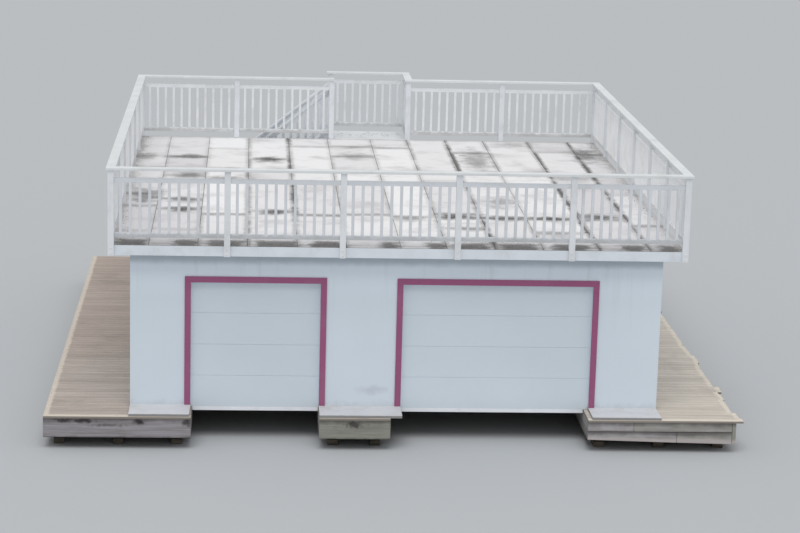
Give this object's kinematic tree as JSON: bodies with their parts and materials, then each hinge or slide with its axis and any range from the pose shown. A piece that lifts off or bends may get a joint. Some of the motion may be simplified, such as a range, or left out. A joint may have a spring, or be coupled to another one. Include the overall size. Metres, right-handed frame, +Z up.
{
  "type": "boathouse",
  "caption": "Flat-roofed boathouse on timber docks and cribs, with two closed boat doors over open slips, a railed roof deck, and a landing with an outside stair at the back.",
  "frame": {"origin": "centre of the docks' outline, at the waterline where the cribs meet the water", "axes": "X along the front to the right, Y from the water to the shore, Z up"},
  "size_m": [10.36, 10.865, 4.157],
  "materials": {
    "dock_boards": "weathered bare boards, beige grey",
    "dock_frame": "weathered grey timber with dark stains",
    "crib_timber": "dark wet squared timber",
    "wall_paint": "pale blue grey painted siding, satin",
    "door_paint": "pale blue grey painted door panels, satin",
    "white_paint": "white painted timber, satin, a little worn",
    "plum_paint": "plum painted timber, satin",
    "deck_paint": "worn white deck paint with dirt in the seams",
    "bare_timber": "bare sawn softwood"
  },
  "bodies": {
    "root": {"left_pier_boards": "dock_boards", "centre_pier_boards": "dock_boards", "right_pier_boards": "dock_boards", "rear_dock_boards": "dock_boards", "left_pier_joists": "dock_frame", "centre_pier_joists": "dock_frame", "right_pier_joists": "dock_frame", "rear_dock_joists": "dock_frame", "dock_rim_boards": "dock_frame", "crib_long_timbers": "crib_timber", "crib_cross_timbers": "crib_timber", "sill_planks": "white_paint", "front_wall_left": "wall_paint", "front_wall_centre": "wall_paint", "front_wall_right": "wall_paint", "front_wall_header": "wall_paint", "left_wall": "wall_paint", "right_wall": "wall_paint", "back_wall": "wall_paint", "left_boat_door": "door_paint", "right_boat_door": "door_paint", "door_bottom_bars": "white_paint", "door_trims": "plum_paint", "roof_joists": "bare_timber", "soffit_front_back": "white_paint", "soffit_sides": "white_paint", "fascia_front_back": "white_paint", "fascia_sides": "white_paint", "roof_deck": "deck_paint", "railing_posts": "white_paint", "front_railing": "white_paint", "left_railing": "white_paint", "right_railing": "white_paint", "back_railing": "white_paint", "cap_front_back": "white_paint", "cap_sides": "white_paint", "landing_boards": "deck_paint", "landing_frame": "white_paint", "landing_posts": "white_paint", "landing_railing": "white_paint", "stair_stringers": "white_paint", "stair_treads": "deck_paint", "stair_posts": "white_paint", "stair_railings": "white_paint", "stair_handrails": "white_paint"}
  },
  "joints": []
}
